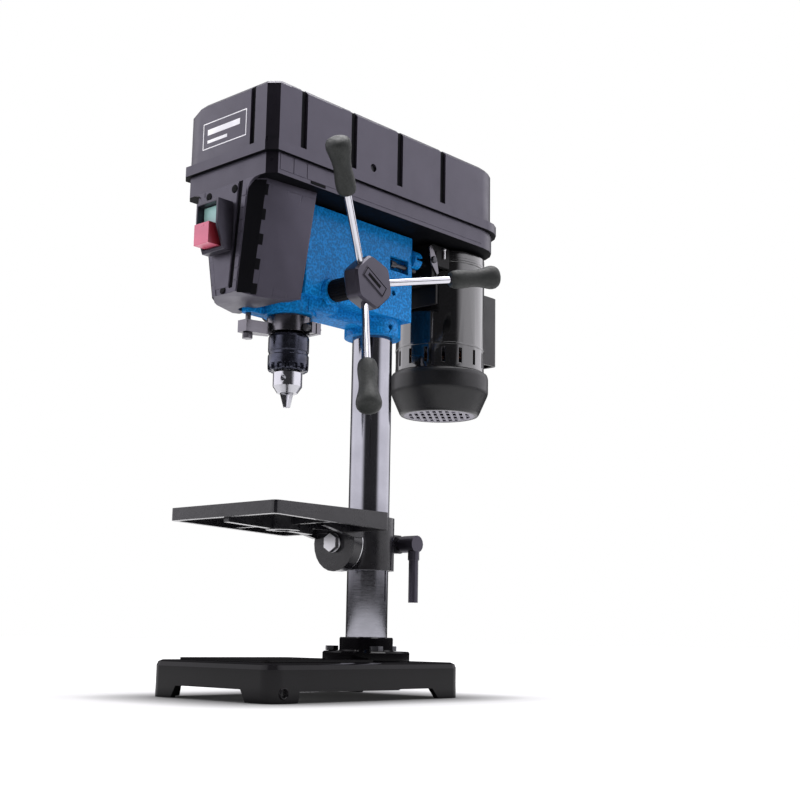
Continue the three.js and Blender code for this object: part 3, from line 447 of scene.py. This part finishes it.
def cover_walls(s):
    """Front, corner and side walls of the cover on side s (+1 is the lever side)."""
    front = [(0, -222, LOW), (s * 18, -222, LOW), (s * 36, -226, TOP), (0, -226, TOP)]
    corner = [(s * 18, -222, LOW), (s * 28, -210, LOW), (s * 51, -214, TOP), (s * 36, -226, TOP)]
    side = [(s * 28, -210, LOW), (s * 48, -160, LOW), (s * 58, -150, TOP), (s * 51, -214, TOP)]
    return [Quad(*(q if s > 0 else [q[1], q[0], q[3], q[2]])) for q in (front, corner, side)]


def cover_details():
    for s, tag in ((1, "right"), (-1, "left")):
        front, corner, side = cover_walls(s)
        flip = (lambda u: u) if s > 0 else (lambda u: 1 - u)
        loop = (lambda uv: uv) if s > 0 else (lambda uv: [(1 - u, v) for u, v in uv][::-1])
        # near-black corner strip, painted shade on the chamfer, whose edge steps in and out along the side
        # wall
        strip = loop([(0.05, 0.02), (1.0, 0.02), (1.0, 0.985), (0.05, 0.985)])
        piece(f"cover_corner_{tag}", corner.plate(strip, 0.5, 0.7), "dark", bevel=0.3, slot="black_plastic")
        # near-black teeth along the strip's edge: the same painted shade
        for i in range(5):
            v = 0.905 - i * 0.212
            w = 0.066 + 0.007 * i
            tooth = loop([(-0.012, v - 0.047), (w, v - 0.047), (w, v + 0.047), (-0.012, v + 0.047)])
            piece(f"cover_tooth_{tag}_{i + 1}", side.plate(tooth, 0.6, 0.75), "dark", bevel=0.25,
                  slot="black_plastic")
        # narrow rail beside the groove, cut into short lengths
        edge = 0.98
        for i in range(9):
            v0 = 0.03 + i * 0.1035
            inner = [0.685 + 0.115 * v for v in (v0, v0 + 0.094)]
            rail = loop([(inner[0], v0), (edge, v0), (edge, v0 + 0.094), (inner[1], v0 + 0.094)])
            piece(f"cover_rail_{tag}_{i + 1}", front.plate(rail, 0.5, 0.6), "cover", bevel=0.25,
                  slot="black_plastic")
        # raised fields of the side wall
        for i, (a, b) in enumerate(((0.10, 0.40), (0.415, 0.70), (0.715, 0.985))):
            u0, u1 = sorted((flip(a), flip(b)))
            rise = 0.55 + 0.25 * (i == 1)
            piece(f"cover_side_field_{tag}_{i + 1}", side.field(u0, u1, 0.02, 0.94, 0.9, rise), "cover",
                  bevel=0.5, segments=3, slot="black_plastic")
        # arch that carries the front wall out to the belt case
        arch = [(34.4, 506), (36.2, 513), (39.5, 518.2), (44.5, 521.3), (51, 522.5), (33, 522.5)]
        piece(f"cover_arch_{tag}", prism([(s * x, -226.3, z) for x, z in arch], (0, 3.6, 0)), "cover",
              bevel=0.4, slot="black_plastic")
    ear = [(-50, 522.5), (-50, 515), (-48.5, 511.5), (-45, 510.2), (-41, 510.8), (-39, 514), (-38, 522.5)]
    piece("cover_left_ear", prism([(x, -221.5, z) for x, z in ear], (0, 9, 0)), "cover", bevel=0.8,
          slot="black_plastic")
    # near-black strip in the groove between the front plate and the rail: painted shade in the groove
    line = [(7.1, 412.2), (12.4, 412.2), (27.5, 522.4), (21.5, 522.4)]
    y = lambda z: -222 - 4 * (z - LOW) / (TOP - LOW)
    piece("cover_groove_lining", prism([(x, y(z) + 1.6, z) for x, z in line], (0, 1.2, 0)), "dark",
          slot="black_plastic")
    # separate front plate with its seam
    plate = [(-16.5, 413.5), (6.5, 413.5), (20.4, 520.8), (-32, 520.8), (-32, 503)]
    piece("cover_front_plate", prism([(x, y(z) - 0.45, z) for x, z in plate], (0, 0.8, 0)), "cover",
          bevel=0.3, slot="black_plastic")
    # near-black cups in the screw holes: painted shade in the recesses
    for i, (x, z) in enumerate(((-26, 516), (15, 516))):
        well = rounded([(0, 0), (3.9, 0), (4.2, 0.5), (4.7, 0.7), (4.7, 2.4), (0, 2.4)], 0.2)
        piece(f"cover_screw_well_{i + 1}", revolve(well, (x, -226.95, z), (0, 1, 0), 40), "dark",
              slot="black_plastic")
    # near-black cup in the lower boss: painted shade in its recess
    well = rounded([(0, 0), (3.6, 0), (4.2, 0.5), (4.2, 2.2), (0, 2.2)], 0.2)
    piece("cover_lower_well", revolve(well, (-2, -223.2, 411.5), (0, 1, -0.25), 40), "dark",
          slot="black_plastic")


# ---- belt case -----------------------------------------------------------------------------------
def case_details():
    # near-black strips in the lid's side and front grooves: painted shade in the grooves
    for n, y in enumerate((-183, -109, -35, 39)):
        for s, tag in ((1, "right"), (-1, "left")):
            x0, x1 = sorted((s * 68.3, s * 68.3 + s * 0.9))
            piece(f"lid_groove_lining_{tag}_{n + 1}", block(x0, x1, y - 3.1, y + 3.1, 557.6, 621.6), "dark",
                  "lid", slot="black_plastic")
    piece("lid_front_groove_lining", block(36.8, 43.2, -224.6, -223.8, 557.6, 621.6), "dark", "lid",
          slot="black_plastic")
    # plain label: a thin white frame round two bars
    bars = [(-39.5, 30.5, 570.4, 571.5), (-39.5, 30.5, 598.8, 599.9), (-39.5, -38.4, 571.5, 598.8),
            (29.4, 30.5, 571.5, 598.8), (-32, 20, 585.5, 592), (-32, 0, 576.5, 580)]
    for i, (x0, x1, z0, z1) in enumerate(bars):
        piece(f"lid_label_bar_{i + 1}", block(x0, x1, -227.25, -226.6, z0, z1), "white", "lid", bevel=0.12,
              segments=1, slot="black_plastic")


cover_details()
case_details()


# ---- turned pieces ---------------------------------------------------------------------------------
SPINDLE = (0, -130, 0)
MOTOR = (0, 119.5, 0)
FEED = (85.5, -104, 428)
TILT, LEVERS = radians(20.6), [radians(a) for a in (-41.5, 78.5, 198.5)]


def knobs():
    """Soft grips, waisted with a slightly domed end, and the rods that carry them."""
    outer = [(4.35, 105.0), (6.4, 105.0), (8.7, 106.6), (9.9, 110), (10.35, 115), (10.25, 121), (9.7, 127),
             (9.35, 132), (9.45, 137), (10.0, 142), (11.1, 147.5), (12.2, 152), (12.95, 155.8),
             (13.05, 158.4), (12.6, 161.2), (11.3, 163.5), (9.0, 165.0), (6, 166.0), (3, 166.4), (0, 166.5)]
    inner = [(0, 133.8), (4.35, 133.8)]
    for i, a in enumerate(LEVERS):
        axis = (sin(TILT), cos(TILT) * sin(a), cos(TILT) * cos(a))
        piece(f"knob_{i + 1}", revolve(inner + outer, FEED, axis, 72), "grip", "feed",
              [f"feed_lever_knob_{i + 1}"], sharp=50, slot="knob_grip")
        rod = rounded([(0, 13.2), (3.6, 13.2), (4, 13.8), (4, 132.4), (3.4, 133), (0, 133)], 0.3)
        piece(f"lever_rod_{i + 1}", revolve(rod, FEED, axis, 64), "rod", "feed", [f"feed_lever_rod_{i + 1}"],
              sharp=40, slot="polished_steel")


def column():
    tube = rounded([(19.1, 38), (22.4, 37.7), (23, 38.4), (23, 511), (22, 511.9), (19.1, 511.9)], 0.4)
    piece("column", revolve(tube, (0, 0, 0), seg=160, closed=True), "column", stands_for=["column_tube"],
          sharp=50, slot="polished_steel")


def chuck():
    def teeth(r, h, a):
        wave = 0.5 + 0.5 * cos(16 * a)
        depth = 2.8 * min(1, max(0, (347.4 - h) / 1.6)) if r > 16 else 0
        return r - depth * (1 if wave > 0.55 else max(0, (wave - 0.35) / 0.2))

    sleeve = rounded([(13.6, 340.3), (20.4, 340.3), (21.6, 341.6), (21.9, 343.4), (22, 345.8),
                      (22, 347.4), (22, 352.5), (22, 357), (21.1, 357.5), (21.1, 361), (22, 361.5),
                      (22, 376.4), (21.2, 378.9), (19.8, 380.5),
                      (13.6, 380.5)], 0.5)
    piece("chuck_ring", revolve(sleeve, SPINDLE, seg=256, radius=teeth, closed=True), "sleeve", "chuck_ring",
          ["chuck_sleeve"], sharp=42, slot="black_oxide")


GRILLE = {"r": 43.0, "pitch": 7.6, "cross_pitch": 21, "turn": pi * 0.7}


def grille_strip(name, corners, z, thick):
    """Strip across the grille opening, from four corners drawn before the grille's turn."""
    turn = Matrix.Rotation(GRILLE["turn"], 3, "Z")
    pts = [turn @ Vector((x, y, 0)) + Vector((0, MOTOR[1], z)) for x, y in corners]
    piece(name, prism([tuple(p) for p in pts], (0, 0, thick)), "grille", "motor_unit", bevel=0.3,
          slot="black_plastic")


def motor():
    bell = rounded([(43.2, 326.1), (46.4, 326.1), (48.2, 328.6), (58.2, 351.4), (58.95, 354.4),
                    (58.95, 371.4), (57.8, 375.6), (54.8, 377.5), (50.2, 377.5), (50.2, 374.2),
                    (55.4, 371), (55.4, 354.4), (44.8, 330),
                    (43.2, 329.6)], 1.2)
    piece("motor_bell", revolve(bell, MOTOR, seg=128, closed=True), "bell", "motor_unit", ["motor_end_bell"],
          sharp=50, slot="black_plastic")
    for i in range(-5, 6):
        off = i * GRILLE["pitch"]
        half = sqrt(GRILLE["r"] ** 2 - off ** 2)
        corners = [(-half, off - 1.9), (half, off - 1.9), (half, off + 1.9), (-half, off + 1.9)]
        grille_strip(f"motor_grille_bar_{i + 6}", corners, 326.4, 1.4)
    for i in (-1, 0, 1):
        off = i * GRILLE["cross_pitch"]
        half = sqrt(GRILLE["r"] ** 2 - off ** 2)
        corners = [(off - 2.6, -half), (off + 2.6, -half), (off + 2.6, half), (off - 2.6, half)]
        grille_strip(f"motor_grille_cross_{i + 2}", corners, 326.45, 1.3)
    rim = rounded([(37.5, 326.3), (43.6, 326.3), (43.6, 329.3), (37.5, 329.3)], 0.4)
    piece("motor_grille_rim", revolve(rim, MOTOR, seg=96, closed=True), "grille", "motor_unit",
          slot="black_plastic")
    # mounting foot with an ear, its bolt and a pin on each side
    piece("motor_foot", block(-45.2, 45.2, 58.0, 61.8, 447, 511), "dull", "motor_unit", bevel=0.8,
          slot="motor_paint")
    ear = rounded([(48, 516), (50.5, 515.5), (59.5, 501), (63, 484), (60, 482), (48.8, 495), (45.6, 514),
                   (48, 516)], 2)
    for s, tag in ((1, "right"), (-1, "left")):
        piece(f"motor_foot_ear_{tag}", prism([(s * 44.1, y, z) for y, z in ear[:-1]], (s * 1.6, 0, 0)), "dim",
              "motor_unit", bevel=0.4, slot="turned_steel")
        nut = rounded([(0, -0.4), (4.1, -0.4), (4.1, 1.6), (3.3, 2.4), (0, 2.4)], 0.3)
        piece(f"motor_foot_bolt_{tag}", revolve(nut, (s * 45.6, 53.6, 499), (s, 0, 0), 24), "oxide",
              "motor_unit", slot="black_oxide")
        pin = rounded([(0, 504), (1.5, 504), (1.5, 514), (2.4, 514.4), (2.4, 516.8), (0, 516.8)], 0.3)
        piece(f"motor_foot_pin_{tag}", revolve(pin, (s * 45.2, 73, 0), seg=24), "bolt", "motor_unit",
              slot="turned_steel")
    for i, (z, r) in enumerate(((505.2, 54.6), (404.6, 54.25))):
        band = rounded([(53.4, z), (r, z), (r, z + 2.6), (53.4, z + 2.6)], 0.5)
        piece(f"motor_band_{i + 1}", revolve(band, MOTOR, seg=128, closed=True), "motor", "motor_unit",
              slot="motor_paint")


def hub():
    """Ribbed neck behind the hub and a plain framed plate on its face."""
    neck = rounded([(11.3, 0), (12.0, 0), (12.3, 1), (12.3, 35.5), (12.0, 36.5), (11.3, 36.5)], 0.3)

    def ribs(r, h, a):
        return r - (0.4 if (r > 11.8 and cos(20 * a) < 0) else 0)

    piece("hub_neck", revolve(neck, (42.9, FEED[1], FEED[2]), (1, 0, 0), 192, radius=ribs, closed=True),
          "dark", "feed", sharp=30, slot="black_plastic")
    t = radians(-31.5)
    across, along = cos(t), sin(t)

    def plate(name, u0, u1, v0, v1, x0, x1, key, **kw):
        pts = [(x0, FEED[1] + u * across - v * along, FEED[2] + u * along + v * across)
               for u, v in ((u0, v0), (u1, v0), (u1, v1), (u0, v1))]
        piece(name, prism(pts, (x1 - x0, 0, 0)), key, "feed", slot="black_plastic", **kw)

    for i, (u0, u1, v0, v1) in enumerate(((-17, 17, -5.9, -5.0), (-17, 17, 5.0, 5.9), (-17, -16.1, -4.9, 4.9),
                                          (16.1, 17, -4.9, 4.9))):
        plate(f"hub_plate_rim_{i + 1}", u0, u1, v0, v1, 101.6, 102.2, "dark", bevel=0.15)
    plate("hub_plate_bar", -12, 9, -1.6, 2.2, 101.6, 102.15, "dark", bevel=0.15)


knobs()
column()
chuck()
motor()
hub()


# ---- small fittings ----------------------------------------------------------------------------------
def fittings():
    boss = rounded([(0, 0), (4.0, 0), (4.3, 0.5), (4.9, 0.9), (5.6, 0.5), (5.9, -0.3), (5.9, -1), (0, -1)],
                   0.2)
    piece("base_foot_boss", revolve(boss, (92.0, -206, 9), (1, 0, 0), 48), "base", slot="black_enamel")
    ring = rounded([(16, 0.1), (30.8, 0.1), (30.8, 0.9), (16, 0.9)], 0.1)
    piece("tilt_scale_ring", revolve(ring, (0, -41, 163), (0, 1, 0), 96, closed=True), "bolt", "table_arm",
          slot="polished_steel")
    for i in range(-6, 7):
        a = radians(i * 15 - 90)
        u, w = Vector((cos(a), 0, sin(a))), Vector((-sin(a), 0, cos(a)))
        r0 = 24.2 if i % 3 == 0 else 26.4
        base = Vector((0, -40.3, 163))
        pts = [base + u * r + w * k for r, k in ((r0, -0.28), (30.6, -0.28), (30.6, 0.28), (r0, 0.28))]
        piece(f"tilt_scale_mark_{i + 7}", prism(pts, (0, 0.45, 0)), "dark", "table_arm", slot="black_plastic")
    # fixing screws of the motor bell, seen round its edge
    for i in range(4):
        a = radians(-52 + 90 * i)
        x, y = 58.6 * cos(a), 119.5 + 58.6 * sin(a)
        head = [(0, -0.7), (1.7, -0.7), (1.9, 0.15), (3.0, 0.2), (3.3, -0.3), (3.3, -1.6), (0, -1.6)]
        piece(f"bell_screw_{i + 1}", revolve(head, (x, y, 364), (cos(a), sin(a), 0), 24), "bolt",
              "motor_unit", slot="black_oxide")
    # seams and a cable slot in the lower half of the case
    for s, tag in ((1, "right"), (-1, "left")):
        x = s * 70.5
        for i, (y0, y1) in enumerate(((-214.5, -196.5), (-195.5, -178.5), (-176.5, 112))):
            lo_x, hi_x = sorted((x - s * 0.4, x + s * 0.45))
            piece(f"case_wall_field_{tag}_{i + 1}", block(lo_x, hi_x, y0, y1, 527.5, 544.3), "shell",
                  bevel=0.3, slot="black_plastic")
        # the cable slot is a near-black strip on the wall: painted shade for its opening
        lo_x, hi_x = sorted((x - s * 0.3, x + s * 0.6))
        piece(f"case_cable_slot_{tag}", block(lo_x, hi_x, -171, -150, 524.2, 527.2), "dark", bevel=0.2,
              slot="black_plastic")


fittings()


# ---- studio -----------------------------------------------------------------------------------
PANELS, CEILING = 1.9, 0.8
FOOTPRINT_SHIFT, FOOTPRINT_SCALE = (0.338, 0.41), (10.9, 7.2)  # 1 unit reaches the edge of the base
NEAR_FLOOR, FAR_FLOOR, FLOOR_SEGMENTS = 2.1, 12.0, 96
CAMERA_AT = Vector((0.9706, -1.0221, 0.0629))
CAMERA_AIM = Vector((0.01315, 0.02737, 0.32401))
VIEW_ANGLE, CAMERA_ROLL = 34.43, 0.94


def camera():
    cam = bpy.data.cameras.new("camera")
    cam.sensor_fit = "AUTO"
    cam.angle = radians(VIEW_ANGLE)
    cam.clip_end = 50
    o = bpy.data.objects.new("camera", cam)
    bpy.context.scene.collection.objects.link(o)
    back = (CAMERA_AT - CAMERA_AIM).normalized()
    right = (-back).cross(Vector((0, 0, 1))).normalized()
    up = right.cross(-back).normalized()
    t = radians(CAMERA_ROLL)
    x, y = right * cos(t) + up * sin(t), up * cos(t) - right * sin(t)
    o.matrix_world = Matrix.Translation(CAMERA_AT) @ Matrix((x, y, back)).transposed().to_4x4()
    bpy.context.scene.camera = o


def area(name, at, aim, size, power, colour=(1, 1, 1)):
    light = bpy.data.lights.new(name, "AREA")
    light.shape = "RECTANGLE"
    light.size, light.size_y = size
    light.energy = power
    light.color = colour
    o = bpy.data.objects.new(name, light)
    o.location = at
    o.rotation_euler = (Vector(aim) - Vector(at)).to_track_quat("-Z", "Y").to_euler()
    bpy.context.scene.collection.objects.link(o)


def world():
    """Dim studio with two tall soft panels facing each other and a pale ceiling."""
    w = bpy.data.worlds.new("studio")
    bpy.context.scene.world = w
    w.use_nodes = True
    t = w.node_tree
    t.nodes.clear()

    def node(kind, *sources, **values):
        n = t.nodes.new("ShaderNode" + kind)
        for key, value in values.items():
            if hasattr(n, key):
                setattr(n, key, value)
            else:
                n.inputs[key.replace("_", " ")].default_value = value
        for socket, source in zip(n.inputs, sources):
            if source is not None:
                t.links.new(source, socket)
        return n

    def ramp(source, a, b, low, high):
        return node("MapRange", source, From_Min=a, From_Max=b, To_Min=low, To_Max=high,
                    interpolation_type="SMOOTHSTEP").outputs[0]

    def calc(kind, a, b):
        n = node("Math", operation=kind)
        for socket, v in zip(n.inputs, (a, b)):
            if isinstance(v, (int, float)):
                socket.default_value = v
            else:
                t.links.new(v, socket)
        return n.outputs[0]

    ray = node("TexCoord").outputs["Generated"]
    flat = node("VectorMath", ray, operation="MULTIPLY")
    flat.inputs[1].default_value = (1, 1, 0)
    unit = node("VectorMath", flat.outputs[0], operation="NORMALIZE").outputs[0]
    dot = node("VectorMath", unit, operation="DOT_PRODUCT")
    dot.inputs[1].default_value = (0.669, 0.743, 0)
    height = node("SeparateXYZ", ray).outputs["Z"]
    panels = ramp(calc("ABSOLUTE", dot.outputs["Value"], 0), 0.52, 0.84, 0.0, PANELS)
    panels = calc("MULTIPLY", panels, ramp(height, -0.02, 0.10, 0.0, 1.0))
    panels = calc("MULTIPLY", panels, ramp(height, 0.55, 0.85, 1.0, 0.0))
    total = calc("ADD", calc("ADD", panels, ramp(height, 0.4, 0.85, 0.0, CEILING)),
                 ramp(height, -0.1, 0.2, 0.02, 0.07))
    studio = node("Background", None, total)
    studio.inputs["Color"].default_value = (0.97, 0.95, 1.0, 1)
    seen = node("LightPath").outputs["Is Camera Ray"]
    backdrop = node("Background", Strength=1.0)
    backdrop.inputs["Color"].default_value = (1, 1, 1, 1)
    mix = node("MixShader", seen, studio.outputs[0], backdrop.outputs[0])
    node("OutputWorld", mix.outputs[0])


def floor():
    """Pale ground with a painted contact shadow, its glow and colour darker towards the base: the near disc
    also lights and mirrors in the press, the far ring is only seen.
    """
    m = Nodes("floor_white", Roughness=0.9, Specular_IOR_Level=0.05, Emission_Strength=1.0)
    # distance from the base, in which 1 is the edge of its footprint
    foot = m.add("Mapping", {"Vector": m.coord}, Location=(*FOOTPRINT_SHIFT, 0),
                 Scale=(*FOOTPRINT_SCALE, 0)).outputs[0]
    square = m.add("VectorMath", {0: foot, 1: foot}, operation="MULTIPLY").outputs[0]
    far = m.add("VectorMath", {0: square}, operation="LENGTH").outputs["Value"]
    # painted contact shadow: the glow rises and the colour lightens away from the base's footprint
    m.to("Emission Color", m.range(far, 0.02, 0.66, 1.0, 9))
    m.to("Base Color", m.range(m.add("Math", {0: far, 1: m.noise(0.6, 2)}, operation="ADD").outputs[0],
                               0.12, 0.47, 1.3, 3.5))
    for name, r0, r1 in (("studio_floor_near", 0.0, NEAR_FLOOR),
                         ("studio_floor_far", NEAR_FLOOR, FAR_FLOOR)):
        bm = bmesh.new()
        rings = []
        for r in (r0, (r0 + r1) / 2, r1):
            n = 1 if r < 0.01 else FLOOR_SEGMENTS
            rings.append([bm.verts.new((r * cos(2 * pi * i / n), r * sin(2 * pi * i / n), 0))
                          for i in range(n)])
        for a, b in zip(rings, rings[1:]):
            for i in range(FLOOR_SEGMENTS):
                j = (i + 1) % FLOOR_SEGMENTS
                bm.faces.new((a[0], b[i], b[j]) if len(a) == 1 else (a[i], b[i], b[j], a[j]))
        bmesh.ops.recalc_face_normals(bm, faces=bm.faces)
        me = bpy.data.meshes.new(name)
        bm.to_mesh(me)
        bm.free()
        me.materials.append(m.mat)
        o = bpy.data.objects.new(name, me)
        o.location.z = -0.0004
        bpy.context.scene.collection.objects.link(o)
        if r0:
            o.visible_diffuse = o.visible_glossy = False


camera()
world()
floor()
area("overhead", (0.0, 0.1, 2.4), (0, 0, 0), (2.0, 2.0), 76, (1, 0.99, 1))
bpy.context.scene.view_settings.view_transform = "Standard"
bpy.context.scene.view_settings.look = "None"
